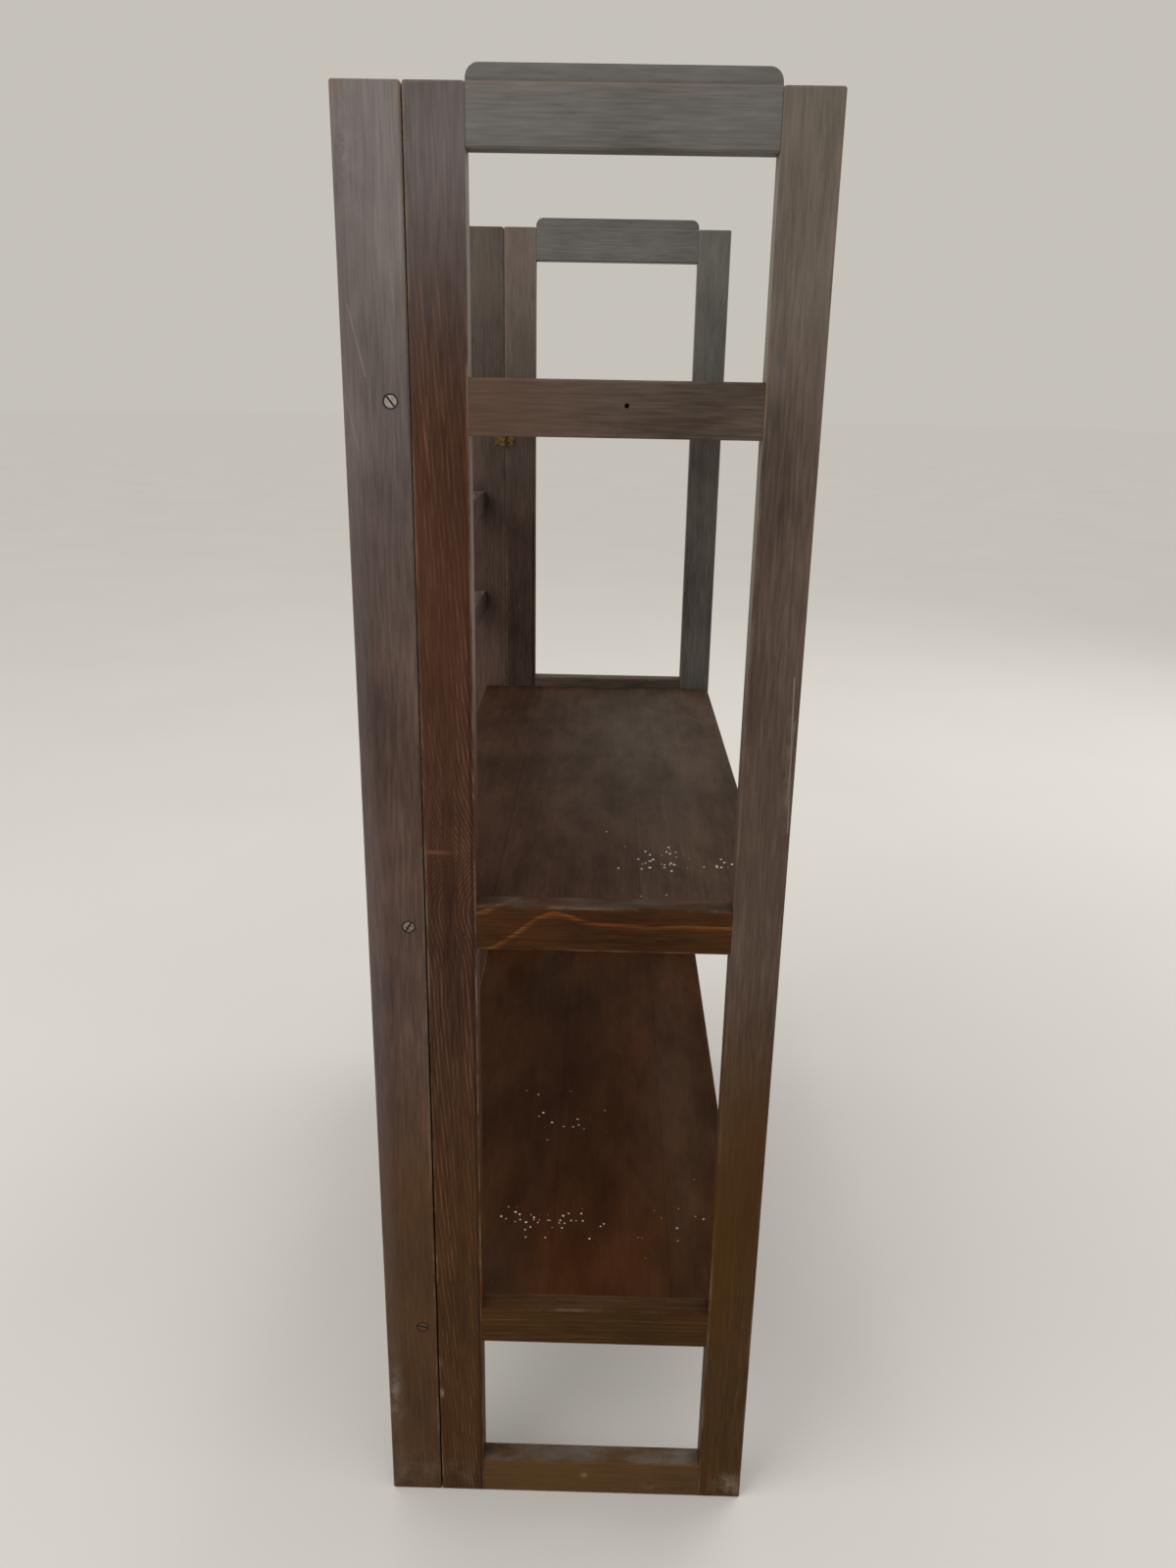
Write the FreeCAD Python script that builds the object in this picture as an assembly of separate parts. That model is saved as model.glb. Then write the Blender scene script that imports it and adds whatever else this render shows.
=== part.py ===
import FreeCAD, Part
import os
from collections import namedtuple

# Folding bookcase: a slatted back between two posts, an open end frame hinged to
# each post, and three shelves that swing up on pivot screws through the posts.
# Millimetres. +Z is up, the front is -Y, the length runs along X, and the origin
# is on the floor under the middle of the unit. Side -1 is the left end, +1 the right.

# Whole unit
unit_length = 706.0
post_height = 1065.0
end_frame_depth = 254.5
hinge_joint_gap = 1.0

# Timber
stock_thickness = 18.0
post_depth = 41.0
stile_width = 36.0
rail_height = 34.5
arris_radius = 1.5
arris_chamfer = 1.2
end_chamfer = 1.0

# Rails of an end frame: the upper one hangs below the post tops, the lower one is
# set from the floor, and the middle one is halfway between them
upper_rail_drop = 160.5
lower_rail_top = 194.5

# Tongue along the top rail
tongue_height = 10.0
tongue_thickness = 10.0
tongue_corner_radius = 8.0

# Blind mortise and tenon joints
tenon_thickness = 6.0
tenon_length = 22.0
tenon_shoulder = 7.0
slat_tenon_length = 10.0
slat_tenon_shoulder = 4.0
tenon_fit = 0.1
mortise_spare_depth = 1.0

# Shelves and the pivots that they swing on
shelf_thickness = 12.0
shelf_end_clearance = 2.0
shelf_front_setback = 1.0
shelf_rear_reach = 24.0
pivot_setback = 11.5
top_pivot_drop = 15.0
middle_pivot_drop = 18.0
lower_pivot_drop = 21.0
pivot_thread_depth = 32.0
pivot_fit = 0.08

# Peg hole through each upper rail into the end of the top shelf
peg_hole_radius = 1.5
peg_hole_depth = 20.0
peg_hole_offset = 6.5

# Back slats, in pairs that divide the bays above the middle and the lower shelf
slat_thickness = 18.0
slat_height = 25.0
slat_rise_shares = {"high": 2 / 3, "low": 1 / 3}

# Cleats that the shelf ends lie on
cleat_projection = 7.0
cleat_height = 12.0
cleat_chamfer = 0.8
cleat_end_margin = 10.0
cleat_gap = 0.2
cleat_screw_inset = 22.0

# Butt hinges on the inner faces
hinge_length = 38.0
hinge_leaf_width = 11.0
hinge_leaf_thickness = 1.5
hinge_drop = 3.0
knuckle_radius = 2.5
knuckle_gap = 0.3
knuckle_relief = 0.4
hinge_pin_radius = 1.2
hinge_pin_fit = 0.05
hinge_screw_inset = 8.0
hinge_screw_reach = 7.0

# Slotted countersunk screws
Screw = namedtuple("Screw", "head_radius head_height shank_radius slot_width slot_depth")
pivot_screw = Screw(head_radius=4.5, head_height=2.9, shank_radius=2.1, slot_width=1.2, slot_depth=1.0)
small_screw = Screw(head_radius=2.4, head_height=1.4, shank_radius=1.1, slot_width=0.7, slot_depth=0.6)
cleat_screw_length = 19.0
hinge_screw_length = 12.0
head_sink = 0.3
screw_fit = 0.05

# Slot directions of the pivot screws, degrees from level: left end, right end
top_slot_angles = (52.0, -20.0)
middle_slot_angles = (-58.0, 35.0)
lower_slot_angles = (15.0, 70.0)
small_slot_angle = 40.0

# Length that cutting tools run past the faces they open
overrun = 2.0

# Places worked out from the sizes above
unit_depth = end_frame_depth + hinge_joint_gap + post_depth
front_y = -unit_depth / 2
rear_y = unit_depth / 2
post_front_y = rear_y - post_depth
frame_rear_y = front_y + end_frame_depth
joint_y = post_front_y - hinge_joint_gap / 2
rail_front_y = front_y + stile_width
rail_rear_y = frame_rear_y - stile_width
rail_middle_y = (rail_front_y + rail_rear_y) / 2
pivot_y = post_front_y + pivot_setback
outer_x = unit_length / 2
inner_x = outer_x - stock_thickness
middle_x = outer_x - stock_thickness / 2
shelf_end_x = inner_x - shelf_end_clearance
upper_rail_top = post_height - upper_rail_drop
middle_rail_top = (upper_rail_top + lower_rail_top) / 2
top_pivot_height = upper_rail_top - top_pivot_drop
middle_pivot_height = middle_rail_top - middle_pivot_drop
lower_pivot_height = lower_rail_top - lower_pivot_drop
slat_front_y = rear_y - slat_thickness
slat_middle_y = rear_y - slat_thickness / 2

AXIS_X = FreeCAD.Vector(1, 0, 0)
AXIS_Y = FreeCAD.Vector(0, 1, 0)
AXIS_Z = FreeCAD.Vector(0, 0, 1)
PARALLEL_TOLERANCE = 1e-6
KNUCKLE_COUNT = 3
SMALL_SCREW_SIDES = 8
SIDES = {"left": -1, "right": 1}
RAIL_TOPS = {
    "top": post_height,
    "upper": upper_rail_top,
    "middle": middle_rail_top,
    "lower": lower_rail_top,
    "bottom": rail_height,
}
SHELVES = {
    "top": (top_pivot_height, top_slot_angles),
    "middle": (middle_pivot_height, middle_slot_angles),
    "lower": (lower_pivot_height, lower_slot_angles),
}
CLEAT_RAILS = {"top": "upper", "middle": "middle", "lower": "lower"}
BAYS = {
    "middle_bay": (middle_pivot_height, top_pivot_height),
    "lower_bay": (lower_pivot_height, middle_pivot_height),
}
SLAT_TOPS = {
    bay + "_" + row: low + shelf_thickness / 2 + share * (high - low)
    for bay, (low, high) in BAYS.items()
    for row, share in slat_rise_shares.items()
}
HINGE_TOPS = {
    "upper": upper_rail_top - rail_height - hinge_drop,
    "lower": lower_rail_top - rail_height - hinge_drop,
}


def block(xs, ys, zs):
    """Plain block between two opposite corners, each pair in either order."""
    low = FreeCAD.Vector(min(xs), min(ys), min(zs))
    size = FreeCAD.Vector(max(xs), max(ys), max(zs)) - low
    return Part.makeBox(size.x, size.y, size.z, low)


def edges_along(solid, direction):
    """Straight edges of a block that run along one direction."""
    def along(edge):
        return edge.tangentAt(edge.FirstParameter).cross(direction).Length < PARALLEL_TOLERANCE
    return [edge for edge in solid.Edges if along(edge)]


def rounded(solid, edges):
    """Round the given arrises."""
    return solid.makeFillet(arris_radius, edges)


def chamfered(solid, size, direction):
    """Plane off the arrises along one direction."""
    return solid.makeChamfer(size, edges_along(solid, direction))


def upright(side, ys, free_ys):
    """Post or stile: round arrises on its free edges, and a chamfer round the top and the foot."""
    bar = block((side * inner_x, side * outer_x), ys, (0, post_height))
    free = [
        edge for edge in edges_along(bar, AXIS_Z)
        if any(abs(edge.CenterOfMass.y - y) < PARALLEL_TOLERANCE for y in free_ys)
    ]
    bar = rounded(bar, free)
    ends = [edge for edge in bar.Edges if edge.BoundBox.ZLength < PARALLEL_TOLERANCE]
    return bar.makeChamfer(end_chamfer, ends)


def cut_all(solid, tools):
    """Cut every tool out of one solid."""
    return solid.cut(Part.makeCompound(tools)) if tools else solid


def turned_along_x(profile):
    """Solid of revolution about X from (distance along X, radius) points."""
    points = [FreeCAD.Vector(along, 0, radius) for along, radius in profile]
    outline = Part.makePolygon(points + points[:1])
    return Part.Face(outline).revolve(FreeCAD.Vector(), AXIS_X, 360)


def placed_along_x(shape, seat, heading):
    """Put a shape that starts at the origin along X at its seat, heading +X or -X."""
    shape = shape.copy()
    if heading < 0:
        shape.rotate(FreeCAD.Vector(), AXIS_Z, 180)
    shape.translate(seat)
    return shape


def faceted_along_x(profile):
    """Eight-sided solid about X from (distance along X, radius) points, all flat faces."""
    turns = [FreeCAD.Rotation(AXIS_X, 360 * i / SMALL_SCREW_SIDES) for i in range(SMALL_SCREW_SIDES)]
    rings = [[turn.multVec(FreeCAD.Vector(along, 0, radius)) for turn in turns] for along, radius in profile]
    loops = [rings[0], rings[-1]]
    for low, high in zip(rings, rings[1:]):
        for i in range(SMALL_SCREW_SIDES):
            loops.append([low[i - 1], low[i], high[i], high[i - 1]])
    shell = Part.Shell([Part.Face(Part.makePolygon(loop + loop[:1])) for loop in loops])
    shell.sewShape()
    return Part.Solid(shell)


def screw_form(size, start, length, fit):
    """Head cone and shank from a start at or above the seat; small screws are faceted."""
    slope = (size.head_radius - size.shank_radius) / size.head_height
    outline = [
        (start, size.head_radius + fit - slope * start),
        (size.head_height, size.shank_radius + fit),
        (length + fit, size.shank_radius + fit),
    ]
    if size is small_screw:
        return faceted_along_x(outline)
    return turned_along_x([(start, 0)] + outline + [(length + fit, 0)])


def screw(size, length, slot_angle, seat, heading):
    """Slotted countersunk screw with the middle of its head at the seat."""
    body = screw_form(size, 0, length, 0)
    slot = block(
        (-overrun, size.slot_depth),
        (-size.head_radius - overrun, size.head_radius + overrun),
        (-size.slot_width / 2, size.slot_width / 2),
    )
    slot.rotate(FreeCAD.Vector(), AXIS_X, slot_angle)
    return placed_along_x(body.cut(slot), seat, heading)


def screw_hole(size, length, fit, seat, heading):
    """Countersunk hole that takes a screw with the given radial fit."""
    return placed_along_x(screw_form(size, -overrun, length, fit), seat, heading)


def pivot_seat(side, height):
    """Middle of a pivot screw's head, just under the outer face of a post."""
    return FreeCAD.Vector(side * (outer_x - head_sink), pivot_y, height)


def pivot_length():
    return outer_x - head_sink - shelf_end_x + pivot_thread_depth


def pivot_holes(side):
    """Running holes for the pivot screws of all three shelves at one end."""
    return [
        screw_hole(pivot_screw, pivot_length(), pivot_fit, pivot_seat(side, height), -side)
        for height, _ in SHELVES.values()
    ]


def hinge_screw_seats(side, top, leaf):
    """Head places of the screws in one hinge leaf; leaf is +1 on the post, -1 on the end frame."""
    x = side * (inner_x - hinge_leaf_thickness)
    y = joint_y + leaf * hinge_screw_reach
    heights = (top - hinge_screw_inset, top - hinge_length + hinge_screw_inset)
    return [FreeCAD.Vector(x, y, z) for z in heights]


def hinge_screw_holes(side, leaf, tops):
    return [
        screw_hole(small_screw, hinge_screw_length, screw_fit, seat, side)
        for top in tops
        for seat in hinge_screw_seats(side, top, leaf)
    ]


def hinge_screws(side, leaf):
    """All the screws that hold one end's leaves to the post or to the end frame."""
    return Part.makeCompound([
        screw(small_screw, hinge_screw_length, small_slot_angle, seat, side)
        for top in HINGE_TOPS.values()
        for seat in hinge_screw_seats(side, top, leaf)
    ])


def slat_tenon(side, top, fit):
    """Tenon on one end of a back slat, or its mortise when a fit is given."""
    reach = slat_tenon_length + (mortise_spare_depth if fit else 0)
    return block(
        (side * inner_x, side * (inner_x + reach)),
        (slat_middle_y - tenon_thickness / 2 - fit, slat_middle_y + tenon_thickness / 2 + fit),
        (top - slat_height + slat_tenon_shoulder - fit, top - slat_tenon_shoulder + fit),
    )


def back_slat(top):
    """Slat between the posts, flush with their rear faces, with a tenon at each end."""
    bar = block((-inner_x, inner_x), (slat_front_y, rear_y), (top - slat_height, top))
    bar = chamfered(bar, arris_chamfer, AXIS_X)
    return bar.fuse([slat_tenon(side, top, 0) for side in SIDES.values()])


def back_post(side):
    """Post with slat mortises, pivot holes and hinge screw holes."""
    bar = upright(side, (post_front_y, rear_y), (post_front_y, rear_y))
    mortises = [slat_tenon(side, top, tenon_fit) for top in SLAT_TOPS.values()]
    holes = pivot_holes(side) + hinge_screw_holes(side, 1, HINGE_TOPS.values())
    return cut_all(bar, mortises + holes)


def rail_tenon(side, top, end, fit):
    """Tenon on one end of a rail, or its mortise when a fit is given; end -1 is the front."""
    start = rail_front_y if end < 0 else rail_rear_y
    reach = tenon_length + (mortise_spare_depth if fit else 0)
    half = tenon_thickness / 2 + fit
    return block(
        (side * middle_x - half, side * middle_x + half),
        (start, start + end * reach),
        (top - rail_height + tenon_shoulder - fit, top - tenon_shoulder + fit),
    )


def stile(side, end):
    """Upright of an end frame, square where the rails meet it, with a mortise for each rail.

    End -1 is the front stile, +1 the rear one."""
    ys = (front_y, rail_front_y) if end < 0 else (frame_rear_y, rail_rear_y)
    bar = upright(side, ys, ys[:1])
    tools = [rail_tenon(side, top, end, tenon_fit) for top in RAIL_TOPS.values()]
    if end > 0:
        tools += hinge_screw_holes(side, -1, HINGE_TOPS.values())
    return cut_all(bar, tools)


def tongue(side):
    """Raised tongue along the top rail, narrower than the rail, with round corners."""
    half = tongue_thickness / 2
    bar = block(
        (side * middle_x - half, side * middle_x + half),
        (rail_front_y, rail_rear_y),
        (post_height - tongue_corner_radius, post_height + tongue_height),
    )
    corners = [
        edge for edge in bar.Edges
        if edge.BoundBox.ZMin > post_height and edge.BoundBox.YLength < PARALLEL_TOLERANCE
    ]
    return bar.makeFillet(tongue_corner_radius, corners)


def peg_hole(side):
    """Peg hole that starts outside an upper rail and ends inside the top shelf."""
    start = FreeCAD.Vector(side * (outer_x + overrun), rail_middle_y - peg_hole_offset, top_pivot_height)
    length = outer_x + overrun - shelf_end_x + peg_hole_depth
    return Part.makeCylinder(peg_hole_radius, length, start, AXIS_X * -side)


def rail(side, name):
    """Rail of an end frame with its tenons; the top one carries the tongue."""
    top = RAIL_TOPS[name]
    bar = block((side * inner_x, side * outer_x), (rail_front_y, rail_rear_y), (top - rail_height, top))
    bar = chamfered(bar, arris_chamfer, AXIS_Y)
    additions = [rail_tenon(side, top, end, 0) for end in (-1, 1)]
    if name == "top":
        additions.append(tongue(side))
    holes = [
        screw_hole(small_screw, cleat_screw_length, screw_fit, seat, side)
        for shelf, carrier in CLEAT_RAILS.items()
        if carrier == name
        for seat in cleat_screw_seats(side, shelf)
    ]
    if name == "upper":
        holes.append(peg_hole(side))
    return cut_all(bar.fuse(additions).removeSplitter(), holes)


def cleat_top(shelf):
    return SHELVES[shelf][0] - shelf_thickness / 2 - cleat_gap


def cleat_screw_seats(side, shelf):
    """Head places of a cleat's two screws, in the part of the cleat that the rail backs."""
    rail_bottom = RAIL_TOPS[CLEAT_RAILS[shelf]] - rail_height
    height = (max(rail_bottom, cleat_top(shelf) - cleat_height) + cleat_top(shelf)) / 2
    x = side * (inner_x - cleat_projection + head_sink)
    ends = (rail_front_y + cleat_screw_inset, rail_rear_y - cleat_screw_inset)
    return [FreeCAD.Vector(x, y, height) for y in ends]


def cleat(side, shelf):
    """Strip on the inner face of a rail that carries one end of a shelf."""
    top = cleat_top(shelf)
    bar = block(
        (side * (inner_x - cleat_projection), side * inner_x),
        (rail_front_y + cleat_end_margin, rail_rear_y - cleat_end_margin),
        (top - cleat_height, top),
    )
    holes = [
        screw_hole(small_screw, cleat_screw_length, screw_fit, seat, side)
        for seat in cleat_screw_seats(side, shelf)
    ]
    return cut_all(chamfered(bar, cleat_chamfer, AXIS_Y), holes)


def cleat_screws(side):
    return Part.makeCompound([
        screw(small_screw, cleat_screw_length, small_slot_angle, seat, side)
        for shelf in CLEAT_RAILS
        for seat in cleat_screw_seats(side, shelf)
    ])


def knuckles(side, top, leaf):
    """Knuckle cylinders of one leaf with the arms that join them to its plate."""
    axis_x = side * (inner_x - knuckle_radius)
    pitch = hinge_length / KNUCKLE_COUNT
    first = 0 if leaf > 0 else 1
    pieces = []
    for index in range(first, KNUCKLE_COUNT, 2):
        low = top - hinge_length + index * pitch + knuckle_gap / 2
        height = pitch - knuckle_gap
        pieces.append(Part.makeCylinder(knuckle_radius, height, FreeCAD.Vector(axis_x, joint_y, low)))
        pieces.append(block(
            (side * inner_x, side * (inner_x - hinge_leaf_thickness)),
            (joint_y, joint_y + leaf * (knuckle_radius + knuckle_relief)),
            (low, low + height),
        ))
    return pieces


def hinge_bore(side, top):
    centre = FreeCAD.Vector(side * (inner_x - knuckle_radius), joint_y, top - hinge_length - overrun)
    return Part.makeCylinder(hinge_pin_radius + hinge_pin_fit, hinge_length + 2 * overrun, centre)


def hinge_leaf(side, top, leaf):
    """Leaf with its knuckles; leaf +1 lies on the post, -1 on the end frame."""
    start = joint_y + leaf * (knuckle_radius + knuckle_relief)
    finish = joint_y + leaf * hinge_leaf_width
    plate = block(
        (side * inner_x, side * (inner_x - hinge_leaf_thickness)),
        (start, finish),
        (top - hinge_length, top),
    )
    solid = plate.fuse(knuckles(side, top, leaf)).removeSplitter()
    return cut_all(solid, [hinge_bore(side, top)] + hinge_screw_holes(side, leaf, [top]))


def hinge_pin(side, top):
    """Plain pin, flush with the ends of the knuckles."""
    bottom = FreeCAD.Vector(side * (inner_x - knuckle_radius), joint_y, top - hinge_length)
    return Part.makeCylinder(hinge_pin_radius, hinge_length, bottom)


def shelf_board(name):
    """Shelf from behind the pivots to the front, drilled for its pivot screws."""
    height = SHELVES[name][0]
    board = block(
        (-shelf_end_x, shelf_end_x),
        (front_y + shelf_front_setback, post_front_y + shelf_rear_reach),
        (height - shelf_thickness / 2, height + shelf_thickness / 2),
    )
    holes = [
        screw_hole(pivot_screw, pivot_length(), screw_fit, pivot_seat(side, height), -side)
        for side in SIDES.values()
    ]
    if name == "top":
        holes += [peg_hole(side) for side in SIDES.values()]
    return cut_all(rounded(board, edges_along(board, AXIS_X)), holes)


def shelf_pivots(name):
    """The two pivot screws of a shelf, which turn with it in the posts."""
    height, angles = SHELVES[name]
    return Part.makeCompound([
        screw(pivot_screw, pivot_length(), angle, pivot_seat(side, height), -side)
        for side, angle in zip(SIDES.values(), angles)
    ])


def back_parts():
    parts = {"back_slat_" + name: back_slat(top) for name, top in SLAT_TOPS.items()}
    for end, side in SIDES.items():
        parts[end + "_back_post"] = back_post(side)
        parts[end + "_post_leaf_screws"] = hinge_screws(side, 1)
        for name, top in HINGE_TOPS.items():
            parts[end + "_" + name + "_hinge_post_leaf"] = hinge_leaf(side, top, 1)
            parts[end + "_" + name + "_hinge_pin"] = hinge_pin(side, top)
    return parts


def end_frame_parts(end, side):
    parts = {end + "_front_stile": stile(side, -1), end + "_rear_stile": stile(side, 1)}
    for name in RAIL_TOPS:
        parts[end + "_" + name + "_rail"] = rail(side, name)
    for shelf in CLEAT_RAILS:
        parts[end + "_" + shelf + "_shelf_cleat"] = cleat(side, shelf)
    for name, top in HINGE_TOPS.items():
        parts[end + "_" + name + "_hinge_frame_leaf"] = hinge_leaf(side, top, -1)
    parts[end + "_frame_leaf_screws"] = hinge_screws(side, -1)
    parts[end + "_cleat_screws"] = cleat_screws(side)
    return parts


def shelf_parts():
    parts = {}
    for name in SHELVES:
        parts[name + "_shelf_board"] = shelf_board(name)
        parts[name + "_shelf_pivot_screws"] = shelf_pivots(name)
    return parts


def main():
    os.makedirs("parts", exist_ok=True)
    parts = back_parts()
    for end, side in SIDES.items():
        parts.update(end_frame_parts(end, side))
    parts.update(shelf_parts())
    for node, shape in parts.items():
        shape.exportStep("parts/" + node + ".step")


main()
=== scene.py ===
import math
from collections import namedtuple

import bmesh
import bpy
from mathutils import Matrix, Vector


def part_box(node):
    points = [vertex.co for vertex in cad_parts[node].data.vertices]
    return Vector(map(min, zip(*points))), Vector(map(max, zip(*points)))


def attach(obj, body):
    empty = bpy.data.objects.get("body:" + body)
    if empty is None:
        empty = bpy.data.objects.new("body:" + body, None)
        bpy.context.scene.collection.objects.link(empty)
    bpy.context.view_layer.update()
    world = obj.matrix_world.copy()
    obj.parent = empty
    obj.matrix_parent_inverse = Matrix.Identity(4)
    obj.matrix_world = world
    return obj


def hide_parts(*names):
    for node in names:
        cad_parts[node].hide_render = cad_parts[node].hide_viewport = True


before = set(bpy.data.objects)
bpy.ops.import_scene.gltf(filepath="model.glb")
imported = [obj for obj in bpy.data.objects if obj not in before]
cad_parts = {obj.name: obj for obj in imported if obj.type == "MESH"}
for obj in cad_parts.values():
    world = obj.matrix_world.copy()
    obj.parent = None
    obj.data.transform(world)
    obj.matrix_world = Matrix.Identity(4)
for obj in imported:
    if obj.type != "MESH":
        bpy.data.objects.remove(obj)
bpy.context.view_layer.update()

# Folding bookcase in dark stained wood, metres. The left end faces the camera.

# Camera, out beyond the left end and at the height of the upper rail
CAMERA_PLACE = Vector((-1.1217, -0.0174, 0.9043))
CAMERA_YAW = math.radians(0.72)
CAMERA_PITCH = math.radians(-18.8)
CAMERA_ROLL = math.radians(1.04)
CAMERA_LENS = 27.26
CAMERA_SENSOR = 36.0
CAMERA_CLIP_START = 0.05

# Small brass screws, and their places in from the edges of the hinge leaves and cleats
SCREW_SIDES = 24
SCREW_HEAD_RADIUS = 0.0024
SCREW_HEAD_HEIGHT = 0.0014
SCREW_SHANK_RADIUS = 0.0011
SCREW_SLOT_WIDTH = 0.0007
SCREW_SLOT_DEPTH = 0.0006
SCREW_SLOT_ANGLE = 40.0
LEAF_SCREW_LENGTH = 0.012
LEAF_SCREW_EDGE = 0.004
LEAF_SCREW_INSET = 0.008
LEAF_THICKNESS = 0.0015
CLEAT_SCREW_LENGTH = 0.019
CLEAT_SCREW_INSET = 0.012
CLEAT_SCREW_SINK = 0.0003

# Axes by number, as a grain direction
X, Y, Z = range(3)


class Wire:
    """A shader socket that takes part in Python sums; each sum adds a Math node."""

    def __init__(self, finish, socket):
        self.finish = finish
        self.socket = socket

    def maths(self, operation, *inputs):
        return self.finish.node("ShaderNodeMath", {"operation": operation}, dict(enumerate(inputs)))

    def __add__(self, other):
        return self.maths("ADD", self, other)

    def __sub__(self, other):
        return self.maths("SUBTRACT", self, other)

    def __rsub__(self, other):
        return self.maths("SUBTRACT", other, self)

    def __mul__(self, other):
        return self.maths("MULTIPLY", self, other)

    def __truediv__(self, other):
        return self.maths("DIVIDE", self, other)

    def __pow__(self, other):
        return self.maths("POWER", self, other)

    def __rpow__(self, other):
        return self.maths("POWER", other, self)

    def __neg__(self):
        return self.maths("MULTIPLY", self, -1.0)

    def __abs__(self):
        return self.maths("ABSOLUTE", self)

    __radd__ = __add__
    __rmul__ = __mul__

    def least(self, other):
        return self.maths("MINIMUM", self, other)

    def most(self, other):
        return self.maths("MAXIMUM", self, other)

    def fraction(self):
        return self.maths("FRACT", self)

    def rise(self, low, high):
        """0 up to low, 1 from high on, smooth between; low may be the larger one."""
        sockets = {"Value": self, "From Min": low, "From Max": high}
        return self.finish.node("ShaderNodeMapRange", {"interpolation_type": "SMOOTHSTEP"}, sockets)


class Finish:
    """The nodes of a material, or of the world, while they are being put together."""

    def __init__(self, holder):
        self.holder = holder
        holder.use_nodes = True
        self.tree = holder.node_tree
        self.tree.nodes.clear()
        self.place = self.node("ShaderNodeTexCoord", output="Object")
        self.facing = self.node("ShaderNodeTexCoord", output="Normal")

    def node(self, kind, settings=None, sockets=None, output=0):
        """Add a node: its settings first, then the values or links of its sockets."""
        made = self.tree.nodes.new(kind)
        for key, value in (settings or {}).items():
            setattr(made, key, value)
        for key, value in (sockets or {}).items():
            if isinstance(value, Wire):
                self.tree.links.new(value.socket, made.inputs[key])
            else:
                made.inputs[key].default_value = value
        return Wire(self, made.outputs[output]) if made.outputs else None

    def parts(self, vector):
        """The X, Y and Z values of a vector."""
        split = self.node("ShaderNodeSeparateXYZ", None, {0: vector}).socket.node
        return [Wire(self, socket) for socket in split.outputs]

    def scaled(self, offset, scale):
        """Object coordinates moved by an offset, then stretched by a scale for each axis."""
        moved = self.node("ShaderNodeVectorMath", {"operation": "ADD"}, {0: self.place, 1: offset})
        return self.node("ShaderNodeVectorMath", {"operation": "MULTIPLY"}, {0: moved, 1: scale})

    def noise(self, vector, detail=2.0, rough=0.5):
        sockets = {"Vector": vector, "Scale": 1.0, "Detail": detail, "Roughness": rough}
        return self.node("ShaderNodeTexNoise", {"noise_dimensions": "3D"}, sockets)

    def cells(self, vector, output):
        return self.node("ShaderNodeTexVoronoi", None, {"Vector": vector, "Scale": 1.0}, output)

    def mix(self, factor, below, above):
        """Lay one colour over another."""
        settings = {"data_type": "RGBA", "clamp_factor": True}
        return self.node("ShaderNodeMix", settings, {0: factor, 6: below, 7: above}, 2)

    def shaded(self, colour, factor):
        """Make a colour lighter or darker by a factor."""
        settings = {"data_type": "RGBA", "blend_type": "MULTIPLY"}
        return self.node("ShaderNodeMix", settings, {0: 1.0, 6: colour, 7: factor}, 2)

    def bumped(self, height, distance, strength):
        sockets = {"Height": height, "Distance": distance, "Strength": strength}
        return self.node("ShaderNodeBump", None, sockets)

    def done(self, **sockets):
        """Finish with a surface shader whose sockets are named in plain words."""
        named = {}
        for key, value in sockets.items():
            named[key.replace("_", " ").title().replace("Ior", "IOR")] = value
        shader = self.node("ShaderNodeBsdfPrincipled", None, named)
        self.node("ShaderNodeOutputMaterial", None, {"Surface": shader})
        return self.holder


def tone(red, green, blue):
    """A colour as it is seen, 0 to 255, as the linear colour that shaders take."""
    def linear(value):
        share = value / 255
        return share / 12.92 if share <= 0.04045 else ((share + 0.055) / 1.055) ** 2.4
    return (linear(red), linear(green), linear(blue), 1.0)


# How the grain of one piece runs: slope of the growth lines, their spacing, how much they
# show, how far each fades out on one side, arches in them, and where the first one starts.
# An arch has a place along the piece, a shift of the lines, a reach and a sharpness.
Arch = namedtuple("Arch", "centre shift reach power")
Grain = namedtuple("Grain", "slope spacing lines tail arches start", defaults=(0.45, (), 0.0))

# Stain of one piece: dark and middle tones, growth lines, the grey of dust and painted sheen on
# its upper part, the heights between which that grey comes in, and the tone near the floor
Stain = namedtuple("Stain", "deep mid line haze fade low")
RAIL_DUST_AND_SHEEN = tone(96, 90, 84)
POST_STAIN = Stain(
    tone(70, 54, 48), tone(92, 73, 65), tone(112, 90, 76),
    tone(120, 114, 112), (0.62, 1.12), tone(78, 54, 32))
REAR_STILE_STAIN = Stain(
    tone(57, 36, 27), tone(78, 52, 39), tone(122, 88, 66),
    tone(110, 104, 103), (0.87, 1.06), tone(70, 45, 21))
FRONT_STILE_STAIN = Stain(
    tone(70, 57, 50), tone(94, 79, 71), tone(108, 88, 74),
    tone(118, 110, 101), (0.78, 1.10), tone(66, 42, 10))
TOP_RAIL_STAIN = Stain(
    tone(90, 86, 82), tone(108, 104, 99), tone(116, 109, 101),
    tone(110, 107, 104), (0.95, 1.06), tone(60, 39, 16))
UPPER_RAIL_STAIN = Stain(
    tone(71, 59, 51), tone(93, 80, 71), tone(110, 88, 70),
    RAIL_DUST_AND_SHEEN, (0.84, 1.10), tone(60, 39, 16))
MIDDLE_RAIL_STAIN = Stain(
    tone(52, 30, 13), tone(72, 44, 20), tone(138, 82, 36),
    RAIL_DUST_AND_SHEEN, (0.95, 1.2), tone(60, 37, 15))
LOWER_RAIL_STAIN = Stain(
    tone(52, 33, 13), tone(74, 49, 22), tone(98, 66, 32),
    RAIL_DUST_AND_SHEEN, (0.95, 1.2), tone(64, 42, 17))
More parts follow.
